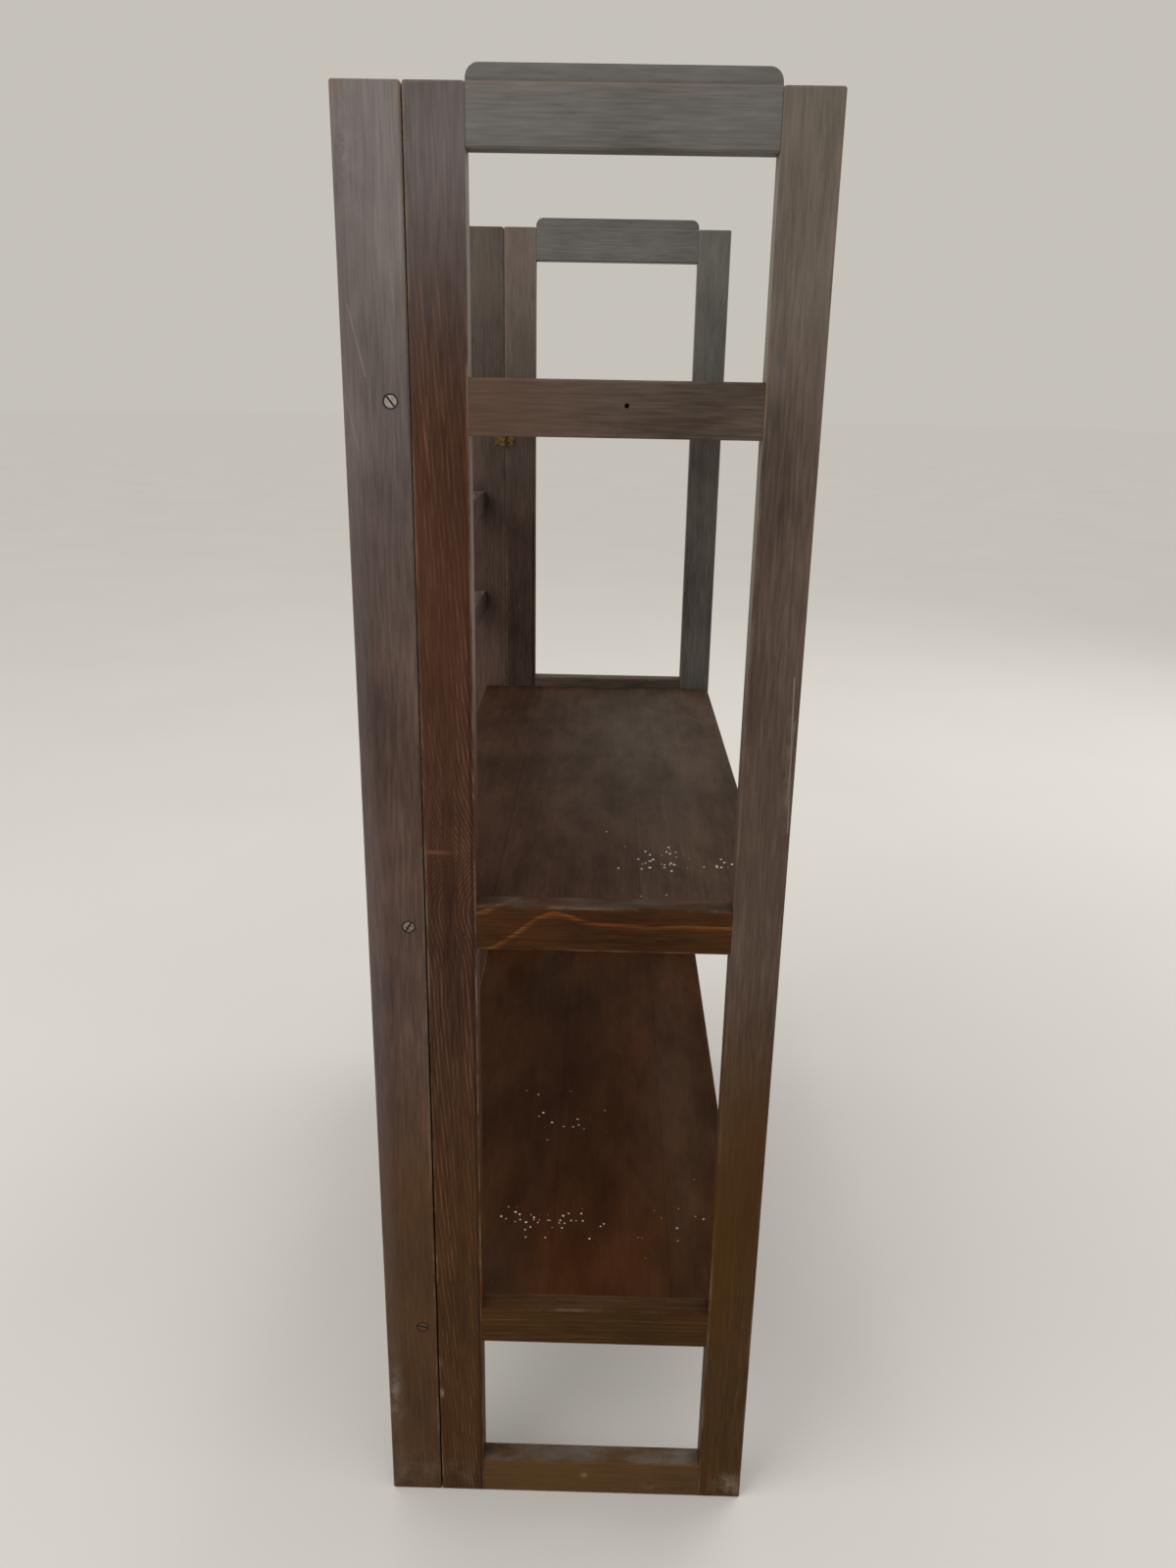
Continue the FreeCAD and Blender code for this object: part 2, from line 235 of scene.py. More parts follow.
BOTTOM_RAIL_STAIN = Stain(
    tone(72, 52, 30), tone(90, 66, 40), tone(106, 80, 52),
    RAIL_DUST_AND_SHEEN, (0.95, 1.2), tone(84, 60, 35))
MIDDLE_SHELF_STAIN = Stain(
    tone(64, 44, 34), tone(80, 57, 44), tone(92, 66, 52),
    RAIL_DUST_AND_SHEEN, (0.80, 1.2), tone(54, 32, 16))
LOWER_SHELF_STAIN = Stain(
    tone(48, 26, 10), tone(70, 40, 17), tone(82, 49, 24),
    RAIL_DUST_AND_SHEEN, (0.80, 1.2), tone(60, 34, 13))
WORN_TONE = tone(132, 110, 90)
DUST_TONE = tone(122, 117, 110)
SPECK_TONE = tone(232, 229, 220)
SCRATCH_TONE = tone(150, 140, 130)
# Painted sheen on the side faces of the stiles in the opening
SHEEN_TONE = tone(150, 146, 138)
# Near black of gaps, pits and dirt, and of the painted shade beside an arris
GAP_AND_SHADE_TONE = tone(18, 12, 9)
# Painted light on the faces in the hinged joint
JOINT_LIGHT_TONE = tone(178, 166, 154)
BOARD_TONES = (tone(66, 36, 18), tone(62, 42, 30))

# Pale floor, light from all round, and the backdrop, which meets the floor without a horizon
FLOOR_RADIUS = 30.0
FLOOR_SIDES = 96
FLOOR_CLOUD_SCALE = (2.0, 2.0, 2.0)
FLOOR_TONES = (tone(226, 223, 217), tone(232, 229, 224))
STUDIO_LIGHT = tone(219, 217, 213)
BACKDROP_TONE = tone(198, 194, 186)

# Two soft lamps: name, place and watts
SOFT_LAMPS = (
    ("rear_left_light", (-1.6, 1.9, 2.3), 26.0),
    ("front_right_light", (1.7, -2.3, 2.1), 22.0),
)
SOFT_LAMP_SIZE = (2.2, 1.6)
SOFT_LAMP_AIM_HEIGHT = 0.55

# Noise of the wood, in waves for each metre along the grain and across it
WANDER_SCALES = (2.2, 14.0)
RIPPLE_SCALES = (20.0, 110.0)
FIBRE_SCALES = (36.0, 600.0)
STREAK_SCALES = (3.0, 130.0)
BLOTCH_SCALES = (9.0, 18.0)
RUB_SCALES = (22.0, 60.0)

# A fixed shift of the noise for each piece keeps the patterns of like pieces apart
SEED_STEPS = (3.17, 1.7, 0.9)

# Growth lines: how far noise bends them, their lean through the timber, the part of a ring at
# which a line is strongest, and the noise values between which streaks and fibres let it show
WANDER_SHIFT = 0.012
RIPPLE_SHIFT = 0.0035
RING_LEAN = 0.7
LINE_PEAK = 0.95
LINE_STREAK_SPAN = (0.25, 0.72)
LINE_FIBRE_SPAN = (0.25, 0.65)

# Shares of fibre, streak and blotch in the step from the dark to the middle tone
BODY_FIBRE, BODY_STREAK, BODY_BLOTCH, BODY_DROP = 0.45, 0.18, 0.5, 0.08
BODY_SPAN = (0.25, 0.75)
BODY_STREAK_SPAN = (0.2, 0.8)

# Shares of the same noises in the light and dark mottling over all tones
MOTTLE_FIBRE, MOTTLE_STREAK, MOTTLE_BLOTCH, MOTTLE_BASE = 0.8, 0.3, 0.8, 0.05

# The foot of the unit is a yellower, darker brown, partly painted shade, which comes in between
# these heights. Blotches break up that brown and the grey of dust and painted sheen, and that
# grey hides most of the growth lines.
LOW_TONE_HEIGHTS = (0.48, 0.26)
LOW_TONE_BLOTCH, LOW_TONE_BASE = 0.5, 0.65
DUST_AND_SHEEN_BLOTCH, DUST_AND_SHEEN_BASE = 0.4, 0.7
DUST_AND_SHEEN_HIDES = 0.85

# Rubbed arrises and dust on upward faces
WEAR_WIDTHS = (0.0024, 0.0004)
WEAR_SPAN = (0.4, 0.7)
WEAR_AMOUNT = 0.6
DUST_FACING = (0.8, 0.98)
DUST_SPAN = (0.25, 0.8)

# Surface of the wood: relief of lines and fibres, and roughness
RELIEF_LINE, RELIEF_FIBRE = 0.4, 0.6
RELIEF_DEPTH = 0.0004
RELIEF_STRENGTH = 0.3
ROUGH_BASE, ROUGH_FIBRE, ROUGH_DUST, ROUGH_WEAR = 0.42, 0.12, 0.2, 0.1
SHELF_GLOSS = 0.03
SHELF_DUST = 0.06
SLAT_DUST = 1.0
CLEAT_DUST = 0.5


def grain_noise(finish, seed, along, scales, detail, rough=0.5):
    """Noise that is stretched along the grain."""
    run_scale, cross_scale = scales
    stretch = [cross_scale] * 3
    stretch[along] = run_scale
    return finish.noise(finish.scaled(seed, stretch), detail, rough)


def bell(drop):
    """1 where the drop is 0, falling towards 0 as it grows."""
    return math.e ** -drop


def growth_line(finish, box, grain, along, across, seed):
    """Growth lines, 1 at their strongest, bent by slope, arches and noise."""
    low, high = box
    centre = (low + high) / 2
    place = finish.parts(finish.place)
    run = place[along] - centre[along]
    depth = ({X, Y, Z} - {along, across}).pop()
    lean = (place[depth] - centre[depth]) * RING_LEAN
    wander = grain_noise(finish, seed, along, WANDER_SCALES, detail=1.0)
    ripple = grain_noise(finish, seed, along, RIPPLE_SCALES, detail=3.0)
    field = place[across] + lean + run * grain.slope - grain.start
    field = field + wander * WANDER_SHIFT + ripple * RIPPLE_SHIFT
    for arch in grain.arches:
        field = field + bell((abs(run - arch.centre) / arch.reach) ** arch.power) * arch.shift
    ring = (field / grain.spacing).fraction()
    return ring.rise(LINE_PEAK - grain.tail, LINE_PEAK) ** 2.0 * ring.rise(1.0, LINE_PEAK)


def edge_distance(finish, box):
    """Distance from a point on a block's surface to its nearest arris."""
    gaps = []
    for value, low, high in zip(finish.parts(finish.place), *box):
        gaps.append((value - low).least(high - value))
    smaller = gaps[0].least(gaps[1])
    larger = gaps[0].most(gaps[1])
    return smaller.most(larger.least(gaps[2]))


def timber(name, box, grain, stain, along, across, number, dusty=0.3, gloss=0.06, marks=()):
    """Stained wood whose grain runs along one axis; marks are laid over its colour."""
    finish = Finish(bpy.data.materials.new(name))
    seed = [step * number for step in SEED_STEPS]
    line = growth_line(finish, box, grain, along, across, seed)
    fibre = grain_noise(finish, seed, along, FIBRE_SCALES, detail=3.0, rough=0.6)
    streak = grain_noise(finish, seed, along, STREAK_SCALES, detail=2.0)
    blotch = grain_noise(finish, seed, along, BLOTCH_SCALES, detail=3.0)
    rub = grain_noise(finish, seed, along, RUB_SCALES, detail=4.0, rough=0.65)

    body = fibre.rise(*BODY_SPAN) * BODY_FIBRE + streak.rise(*BODY_STREAK_SPAN) * BODY_STREAK
    body = body + blotch.rise(*BODY_SPAN) * BODY_BLOTCH - BODY_DROP
    colour = finish.mix(body, stain.deep, stain.mid)
    height = finish.parts(finish.place)[Z]
    # Yellower, darker brown near the floor, partly painted shade
    low_tone = height.rise(*LOW_TONE_HEIGHTS) * (blotch * LOW_TONE_BLOTCH + LOW_TONE_BASE)
    colour = finish.mix(low_tone, colour, stain.low)
    # Grey of dust and painted sheen over the upper part
    haze = height.rise(*stain.fade) * (blotch * DUST_AND_SHEEN_BLOTCH + DUST_AND_SHEEN_BASE)
    colour = finish.mix(haze, colour, stain.haze)
    shown = line * grain.lines * streak.rise(*LINE_STREAK_SPAN) * fibre.rise(*LINE_FIBRE_SPAN)
    colour = finish.mix(shown * (1.0 - haze * DUST_AND_SHEEN_HIDES), colour, stain.line)
    mottle = fibre * MOTTLE_FIBRE + streak * MOTTLE_STREAK + blotch * MOTTLE_BLOTCH + MOTTLE_BASE
    colour = finish.shaded(colour, mottle)

    wear = edge_distance(finish, box).rise(*WEAR_WIDTHS) * rub.rise(*WEAR_SPAN)
    colour = finish.mix(wear * WEAR_AMOUNT, colour, WORN_TONE)
    dust = finish.parts(finish.facing)[Z].rise(*DUST_FACING) * rub.rise(*DUST_SPAN)
    colour = finish.mix(dust * dusty, colour, DUST_TONE)
    for mark in marks:
        colour = mark(finish, colour)

    relief = line * RELIEF_LINE + fibre * RELIEF_FIBRE
    return finish.done(
        base_color=colour,
        roughness=ROUGH_BASE + fibre * ROUGH_FIBRE + dust * ROUGH_DUST + wear * ROUGH_WEAR,
        normal=finish.bumped(relief, RELIEF_DEPTH, RELIEF_STRENGTH),
        specular_ior_level=gloss)


# Marks are functions that lay something over the colour of a timber. Their numbers come first:
# the share of a line's width that is at full strength
SEAM_CORE = 0.3
SCRATCH_CORE = 0.2

# Noise that breaks up a scuff
SMEAR_SHIFT = (2.0, 9.0, 4.0)
SMEAR_SCALE = (90.0, 90.0, 60.0)
SMEAR_SPAN = (0.35, 0.7)

# How squarely a face looks along an axis before it counts as facing that way
FLAT_FACING = (0.5, 0.9)
SIDE_FACING = (0.85, 0.97)

# Heights and amounts of the painted sheen on the side faces of the stiles, of the painted light
# on the faces in the hinged joint, and of the painted shade line beside an arris
SHEEN_HEIGHTS = (0.58, 0.85)
SHEEN_AMOUNT = 0.5
JOINT_LIGHT_HEIGHTS = (0.30, 0.85)
JOINT_LIGHT_AMOUNT = 0.8
ARRIS_LINE_INSET = 0.0022
ARRIS_LINE_WIDTHS = (0.0018, 0.0005)
ARRIS_LINE_HEIGHTS = (0.84, 0.72)
ARRIS_LINE_AMOUNT = 0.45

# Dirt round the heads of the pivot screws, on the wood and on the metal
RIM_LINE_WIDTHS = (0.0006, 0.0002)
RIM_LINE_AMOUNT = 0.7
HEAD_RIM_WIDTHS = (0.0009, 0.0005)
HEAD_SLOT_DEPTHS = (0.0002, 0.0007)
HEAD_GRIME_AMOUNT = 0.9

# White specks: cells for each metre, dot size in cells, its spread, and the share of loose ones
SPECK_SHIFT = (0.13, 0.37, 0.0)
SPECK_SCALE = (300.0, 300.0, 300.0)
SPECK_SIZES = (0.22, 0.12)
SPECK_SIZE_SPREAD = 0.2
SPECK_PICK = (0.0, 0.02)
LOOSE_SPECKS = 0.002

# Clouding along a shelf, and the edges of its boards
CLOUD_SHIFT = (5.0, 2.0, 0.0)
CLOUD_SCALE = (9.0, 26.0, 1.0)
CLOUD_SPAN = (0.3, 0.7)
CLOUD_SWING, CLOUD_BASE = 0.5, 0.75
BOARD_SEAM = 0.0004
BOARD_TONE_AMOUNT = 0.28


def seam(axis, places, width=0.0005, shade=GAP_AND_SHADE_TONE, amount=0.75):
    """Thin lines, dark where two pieces of timber meet and light where an edge is rubbed."""
    def mark(finish, colour):
        value = finish.parts(finish.place)[axis]
        for place in places:
            line = abs(value - place).rise(width, width * SEAM_CORE)
            colour = finish.mix(line * amount, colour, shade)
        return colour
    return mark


def spot(finish, axes, centre, reach):
    """Soft round or oval patch, 1 in its middle."""
    place = finish.parts(finish.place)
    first = ((place[axes[0]] - centre[0]) / reach[0]) ** 2.0
    second = ((place[axes[1]] - centre[1]) / reach[1]) ** 2.0
    return bell(first + second)


def tint(centre, reach, shade, amount, axes=(Y, Z)):
    """Soft patch of another tone round a place on two of the axes."""
    def mark(finish, colour):
        return finish.mix(spot(finish, axes, centre, reach) * amount, colour, shade)
    return mark


def smear(centre, reach, shade, amount):
    """Scuffed patch with a broken edge round a (Y, Z) place."""
    def mark(finish, colour):
        broken = finish.noise(finish.scaled(SMEAR_SHIFT, SMEAR_SCALE), detail=4.0, rough=0.7)
        cover = spot(finish, (Y, Z), centre, reach) * broken.rise(*SMEAR_SPAN)
        return finish.mix(cover * amount, colour, shade)
    return mark


def scratch(start, end, width=0.0006, amount=0.5):
    """Light scratch between two (Y, Z) points on the outer face of the left end."""
    def mark(finish, colour):
        _, y, z = finish.parts(finish.place)
        run = (end[0] - start[0], end[1] - start[1])
        span = run[0] ** 2 + run[1] ** 2
        along = ((y - start[0]) * run[0] + (z - start[1]) * run[1]) / span
        along = along.most(0.0).least(1.0)
        off_y = y - start[0] - along * run[0]
        off_z = z - start[1] - along * run[1]
        gap = (off_y * off_y + off_z * off_z) ** 0.5
        outer = (-finish.parts(finish.facing)[X]).rise(*FLAT_FACING)
        line = gap.rise(width, width * SCRATCH_CORE)
        return finish.mix(line * outer * amount, colour, SCRATCH_TONE)
    return mark


def facing_side(finish, side):
    """1 on the face of an upright that looks along Y to one side."""
    return (finish.parts(finish.facing)[Y] * side).rise(*SIDE_FACING)


def opening_sheen(side):
    """Painted sheen: paler side face of a stile, where light falls on it through the opening of the
    frame.
    """
    def mark(finish, colour):
        height = finish.parts(finish.place)[Z].rise(*SHEEN_HEIGHTS)
        return finish.mix(facing_side(finish, side) * height * SHEEN_AMOUNT, colour, SHEEN_TONE)
    return mark


def lit_joint_walls(side):
    """Painted light on a face that meets its neighbour at the hinged joint, where the gap lies in
    shade; it grows paler upwards.
    """
    def mark(finish, colour):
        height = finish.parts(finish.place)[Z].rise(*JOINT_LIGHT_HEIGHTS)
        return finish.mix(facing_side(finish, side) * height * JOINT_LIGHT_AMOUNT, colour, JOINT_LIGHT_TONE)
    return mark


def shaded_arris_line(place_y):
    """Painted shade: darker line beside the inner arris of a stile, up to the upper rail."""
    def mark(finish, colour):
        _, y, z = finish.parts(finish.place)
        line = abs(y - place_y).rise(*ARRIS_LINE_WIDTHS) * z.rise(*ARRIS_LINE_HEIGHTS)
        return finish.mix(line * ARRIS_LINE_AMOUNT, colour, GAP_AND_SHADE_TONE)
    return mark


def inside_rim(finish, box):
    """Distance inwards from the rim of a pivot screw's head, less than 0 outside it."""
    low, high = box
    _, y, z = finish.parts(finish.place)
    off = ((y - (low.y + high.y) / 2) ** 2.0 + (z - (low.z + high.z) / 2) ** 2.0) ** 0.5
    return (high.z - low.z) / 2 - off


def screw_rim(shelf):
    """Dark line round the head of a pivot screw, where dirt has settled."""
    def mark(finish, colour):
        off_rim = abs(inside_rim(finish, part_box(shelf + "_shelf_pivot_screws")))
        return finish.mix(off_rim.rise(*RIM_LINE_WIDTHS) * RIM_LINE_AMOUNT, colour, GAP_AND_SHADE_TONE)
    return mark


def specks(clusters):
    """White specks on a shelf's top face: clusters are (X, Y) places with a reach and a share."""
    def mark(finish, colour):
        place = finish.scaled(SPECK_SHIFT, SPECK_SCALE)
        pick = finish.parts(finish.cells(place, "Color"))
        gap = finish.cells(place, "Distance")
        share = LOOSE_SPECKS
        for centre, reach, thick in clusters:
            share = spot(finish, (X, Y), centre, (reach, reach)) * thick + share
        there = (pick[0] + share - 1.0).rise(*SPECK_PICK)
        dot = (gap - pick[1] * SPECK_SIZE_SPREAD).rise(*SPECK_SIZES)
        top = finish.parts(finish.facing)[Z].rise(*FLAT_FACING)
        return finish.mix(there * dot * top, colour, SPECK_TONE)
    return mark


def clouds(finish, colour):
    """Broad lighter and darker patches along a shelf."""
    cloud = finish.noise(finish.scaled(CLOUD_SHIFT, CLOUD_SCALE), detail=4.0, rough=0.65)
    return finish.shaded(colour, cloud.rise(*CLOUD_SPAN) * CLOUD_SWING + CLOUD_BASE)


def boards(edges):
    """Boards glued edge to edge: each next board takes a tone of its own from its edge on."""
    def mark(finish, colour):
        y = finish.parts(finish.place)[Y]
        for edge, shade in zip(edges, BOARD_TONES):
            past = y.rise(edge - BOARD_SEAM, edge + BOARD_SEAM)
            colour = finish.mix(past * BOARD_TONE_AMOUNT, colour, shade)
        return seam(Y, edges, BOARD_SEAM)(finish, colour)
    return mark


# Marks on the outer face of the left end, as (Y, Z) places
POST_MARKS = (
    scratch((0.1430, 0.9451), (0.1336, 0.9039)),
    scratch((0.1468, 0.8934), (0.1398, 0.8597), 0.0005, 0.4),
    tint((0.1465, 1.0640), (0.005, 0.008), tone(136, 110, 90), 0.6),
    smear((0.1405, 1.0300), (0.006, 0.035), tone(150, 144, 140), 0.5),
    smear((0.1440, 0.1050), (0.006, 0.030), tone(128, 116, 104), 0.8),
    smear((0.1300, 0.0220), (0.030, 0.018), tone(104, 88, 70), 0.6),
    # Painted shade: bluish grey along the rounded back edge of the post
    tint((0.1480, 0.5500), (0.010, 0.400), tone(110, 101, 103), 0.4),
)
REAR_STILE_MARKS = (
    smear((0.1060, 0.1370), (0.003, 0.004), tone(150, 128, 100), 0.9),
    smear((0.1045, 0.1060), (0.002, 0.004), tone(150, 128, 100), 0.9),
    smear((0.0880, 0.0180), (0.020, 0.014), tone(108, 92, 74), 0.6),
    tint((0.0990, 0.5895), (0.011, 0.0014), tone(128, 86, 52), 0.5),
    tint((0.0850, 0.7600), (0.040, 0.110), tone(96, 60, 44), 0.3),
)
FRONT_STILE_MARKS = (
    scratch((-0.1430, 0.7200), (-0.1462, 0.6100), 0.0008, 0.55),
    scratch((-0.1455, 0.6900), (-0.1440, 0.6300), 0.0005, 0.5),
    smear((-0.1440, 0.6600), (0.004, 0.050), tone(128, 112, 98), 0.6),
    smear((-0.1380, 0.0120), (0.012, 0.012), tone(132, 118, 98), 0.8),
    tint((-0.1300, 0.6000), (0.060, 0.110), tone(84, 66, 55), 0.35),
    tint((-0.1300, 0.3600), (0.060, 0.110), tone(74, 46, 8), 0.60),
)
UPPER_RAIL_MARKS = (
    tint((0.0550, 0.8870), (0.060, 0.060), tone(98, 72, 58), 0.5),
)
BOTTOM_RAIL_MARKS = (
    tint((-0.0150, 0.0200), (0.0025, 0.0025), tone(140, 120, 96), 0.6),
    smear((-0.0700, 0.0100), (0.010, 0.003), tone(140, 118, 90), 0.7),
)

# Worn arris along the shoulder of each top rail, level with the tops of the stiles
TOP_ARRIS_WIDTH = 0.0014
TOP_ARRIS_AMOUNT = 0.5

# Specks on the shelves: (X, Y) of each cluster, its reach and how thick the specks lie
MIDDLE_SPECKS = (
    ((-0.230, -0.064), 0.020, 0.50),
    ((-0.245, -0.048), 0.012, 0.20),
    ((-0.238, -0.112), 0.012, 0.25),
    ((-0.170, -0.022), 0.008, 0.20),
    ((-0.318, -0.055), 0.016, 0.15),
)
LOWER_SPECKS = (
    ((-0.232, 0.042), 0.020, 0.28),
    ((-0.227, 0.008), 0.012, 0.30),
    ((-0.246, -0.020), 0.018, 0.10),
    ((-0.060, 0.026), 0.030, 0.16),
    ((-0.256, -0.060), 0.014, 0.10),
    ((-0.200, -0.100), 0.040, 0.03),
)

# Painted sheen: greyer far part of the two upper shelves, as an (X, Y) place
UPPER_SHELF_SHEEN = (
    tint((0.10, -0.070), (0.32, 0.100), tone(96, 88, 78), 0.55, (X, Y)),
)

# Painted light on the lower shelf, a redder glow on its near part and a greyer sheen on its edges,
# and its darker middle
LOWER_SHELF_SHEEN_AND_TINTS = (
    tint((-0.30, 0.000), (0.11, 0.070), tone(92, 50, 20), 0.40, (X, Y)),
    tint((0.05, 0.012), (0.20, 0.030), tone(42, 21, 8), 0.50, (X, Y)),
    tint((0.00, -0.105), (0.25, 0.030), tone(80, 60, 46), 0.50, (X, Y)),
    tint((-0.30, 0.070), (0.06, 0.035), tone(84, 62, 46), 0.50, (X, Y)),
)


def paint(node, material):
    """Give a CAD node's own object one material."""
    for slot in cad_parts[node].material_slots:
        slot.material = material


def numbered(things, first):
    """Pair each piece with a number of its own, which shifts its noise."""
    return zip(things, range(first, first + len(things)))


def finish_uprights():
    """Posts and stiles: grain, stain and marks; the right end has stains of its own, partly painted
    shade, and no scuffs.
    """
    uprights = {
        "back_post": (Grain(-0.012, 0.0065, 0.12), POST_STAIN, POST_MARKS),
        "front_stile": (Grain(0.012, 0.0052, 0.12), FRONT_STILE_STAIN, FRONT_STILE_MARKS),
        "rear_stile": (Grain(-0.08, 0.0032, 0.75, 0.40), REAR_STILE_STAIN, REAR_STILE_MARKS),
    }
    knots = {
        "left_rear_stile": (Arch(0.0570, 0.026, 0.034, 1.0), Arch(0.016, -0.012, 0.030, 2.0)),
        "right_rear_stile": (Arch(0.476, 0.040, 0.060, 1.4),),
    }
    # Stains of the right end; the darker grey on its post is painted shade
    far_stains_and_shade = {
        "back_post": {"haze": tone(100, 92, 85)},
        "front_stile": {
            "deep": tone(75, 70, 65), "mid": tone(98, 93, 87), "haze": tone(106, 104, 99)},
        "rear_stile": {
            "deep": tone(58, 44, 38), "mid": tone(78, 61, 54), "line": tone(104, 86, 74),
            "haze": tone(122, 110, 102), "fade": (0.70, 1.04)},
    }
    for end, first in (("left", 1), ("right", 4)):
        for (part, (grain, stain, marks)), number in numbered(uprights.items(), first):
            node = end + "_" + part
            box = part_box(node)
            grain = grain._replace(arches=knots.get(node, ()))
            if end == "right":
                stain = stain._replace(**far_stains_and_shade[part])
                marks = ()
            # Posts get dirt round the pivot screws and painted light in the hinged joint; stiles
            # get painted sheen in the opening, rear stiles painted shade by the inner arris
            if part == "back_post":
                marks += tuple(screw_rim(shelf) for shelf in ("top", "middle", "lower"))
                marks += (lit_joint_walls(-1),)
            elif part == "rear_stile":
                marks += (opening_sheen(-1), lit_joint_walls(1), shaded_arris_line(box[0].y + ARRIS_LINE_INSET))
            else:
                marks += (opening_sheen(1),)
            paint(node, timber(node + "_wood", box, grain, stain, Z, Y, number, marks=marks))


def finish_rails():
    """Rails of both ends: grain, stain, share of dust and marks."""
    plain = Grain(0.012, 0.0055, 0.45)
    hump = (Arch(0.038, -0.010, 0.022, 2.0), Arch(0.096, 0.024, 0.035, 2.0))
    humped = Grain(0.0, 0.032, 0.6, 0.2, hump, -0.006)
    rails = {
        "top": (plain._replace(lines=0.15), TOP_RAIL_STAIN, 0.3, ()),
        "upper": (plain._replace(lines=0.3), UPPER_RAIL_STAIN, 0.4, UPPER_RAIL_MARKS),
        "middle": (plain, MIDDLE_RAIL_STAIN, 0.3, ()),
        "lower": (plain._replace(lines=0.7, spacing=0.0042), LOWER_RAIL_STAIN, 0.08, ()),
        "bottom": (plain._replace(lines=0.2), BOTTOM_RAIL_STAIN, 0.75, BOTTOM_RAIL_MARKS),
    }
    for end, first in (("left", 10), ("right", 15)):
        rear_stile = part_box(end + "_rear_stile")
        joints = (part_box(end + "_front_stile")[1].y, rear_stile[0].y)
        top_arris = seam(Z, (rear_stile[1].z,), TOP_ARRIS_WIDTH, WORN_TONE, TOP_ARRIS_AMOUNT)
        for (part, (grain, stain, dusty, marks)), number in numbered(rails.items(), first):
            node = end + "_" + part + "_rail"
            if node == "left_middle_rail":
                grain = humped
            if node == "right_middle_rail":
                stain = UPPER_RAIL_STAIN
            shown = (seam(Y, joints),)
            if end == "left":
                shown += marks
            if part == "top":
                shown += (top_arris,)
            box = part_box(node)
            wood = timber(node + "_wood", box, grain, stain, Y, Z, number, dusty, marks=shown)
            paint(node, wood)


def finish_shelves():
    """Shelf boards: stain, specks, edges of the glued boards and tints, with painted sheen and glow
    among them.
    """
    grain = Grain(0.004, 0.012, 0.3)
    shelves = {
        "top": (MIDDLE_SHELF_STAIN, (), (-0.055, 0.045), UPPER_SHELF_SHEEN),
        "middle": (MIDDLE_SHELF_STAIN, MIDDLE_SPECKS, (-0.048, 0.062), UPPER_SHELF_SHEEN),
        "lower": (LOWER_SHELF_STAIN, LOWER_SPECKS, (-0.085, 0.018), LOWER_SHELF_SHEEN_AND_TINTS),
    }
    for (shelf, (stain, clusters, edges, sheen_and_tints)), number in numbered(shelves.items(), first=20):
        node = shelf + "_shelf_board"
        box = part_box(node)
        marks = (boards(edges), *sheen_and_tints, clouds, specks(clusters))
        wood = timber(
            node + "_wood", box, grain, stain, X, Y, number, SHELF_DUST, SHELF_GLOSS, marks)
        paint(node, wood)


def finish_small_timber():
    """Back slats, with grain along the unit, and cleats, with grain across it."""
    grain = Grain(0.01, 0.005, 0.4)
    slats = [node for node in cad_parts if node.startswith("back_slat")]
    cleats = [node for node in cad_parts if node.endswith("cleat")]
    for node, number in numbered(sorted(slats + cleats), first=30):
        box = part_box(node)
        along, dusty = (X, SLAT_DUST) if node in slats else (Y, CLEAT_DUST)
        wood = timber(node + "_wood", box, grain, FRONT_STILE_STAIN, along, Z, number, dusty)
        paint(node, wood)


# Old metal: noise of the tarnish and of the pits, in waves for each metre
TARNISH_SHIFT = (3.0, 1.0, 2.0)
TARNISH_SCALE = (420.0, 420.0, 420.0)
TARNISH_SPAN = (0.62, 0.86)
TARNISH_COVER_SHIFT = 0.5
PIT_SHIFT = (1.0, 4.0, 6.0)
PIT_SCALE = (1100.0, 1100.0, 1100.0)
PIT_SPAN = (0.54, 0.70)
PIT_ON_TARNISH, PIT_ON_BRIGHT = 0.6, 0.4
PIT_AMOUNT = 0.6

# Surface of the metal: roughness, how much less metallic the tarnish is, and relief
METAL_ROUGH, METAL_ROUGH_TARNISH, METAL_ROUGH_PIT = 0.36, 0.3, 0.2
METAL_SHARE, METAL_TARNISH_LOSS = 0.9, 0.5
METAL_RELIEF_DEPTH = 0.0002
METAL_RELIEF_STRENGTH = 0.5


def old_metal(name, bright, tarnish, cover, pivot_box=None):
    """Worn metal: bright where rubbed, tarnished in patches, pitted; a pivot screw gets grime."""
    finish = Finish(bpy.data.materials.new(name))
    patches = finish.noise(finish.scaled(TARNISH_SHIFT, TARNISH_SCALE), detail=4.0, rough=0.6)
    pits = finish.noise(finish.scaled(PIT_SHIFT, PIT_SCALE))
    stained = patches.rise(*(value - cover * TARNISH_COVER_SHIFT for value in TARNISH_SPAN))
    pitted = pits.rise(*PIT_SPAN) * (stained * PIT_ON_TARNISH + PIT_ON_BRIGHT)
    colour = finish.mix(stained, bright, tarnish)
    colour = finish.mix(pitted * PIT_AMOUNT, colour, GAP_AND_SHADE_TONE)
    if pivot_box:
        below_face = pivot_box[1].x - abs(finish.parts(finish.place)[X])
        in_slot = below_face.rise(*HEAD_SLOT_DEPTHS)
        at_rim = inside_rim(finish, pivot_box).rise(*HEAD_RIM_WIDTHS)
        colour = finish.mix(in_slot.most(at_rim) * HEAD_GRIME_AMOUNT, colour, GAP_AND_SHADE_TONE)
    return finish.done(
        base_color=colour,
        roughness=METAL_ROUGH + stained * METAL_ROUGH_TARNISH + pitted * METAL_ROUGH_PIT,
        metallic=METAL_SHARE - stained * METAL_TARNISH_LOSS,
        normal=finish.bumped(patches - pitted, METAL_RELIEF_DEPTH, METAL_RELIEF_STRENGTH))


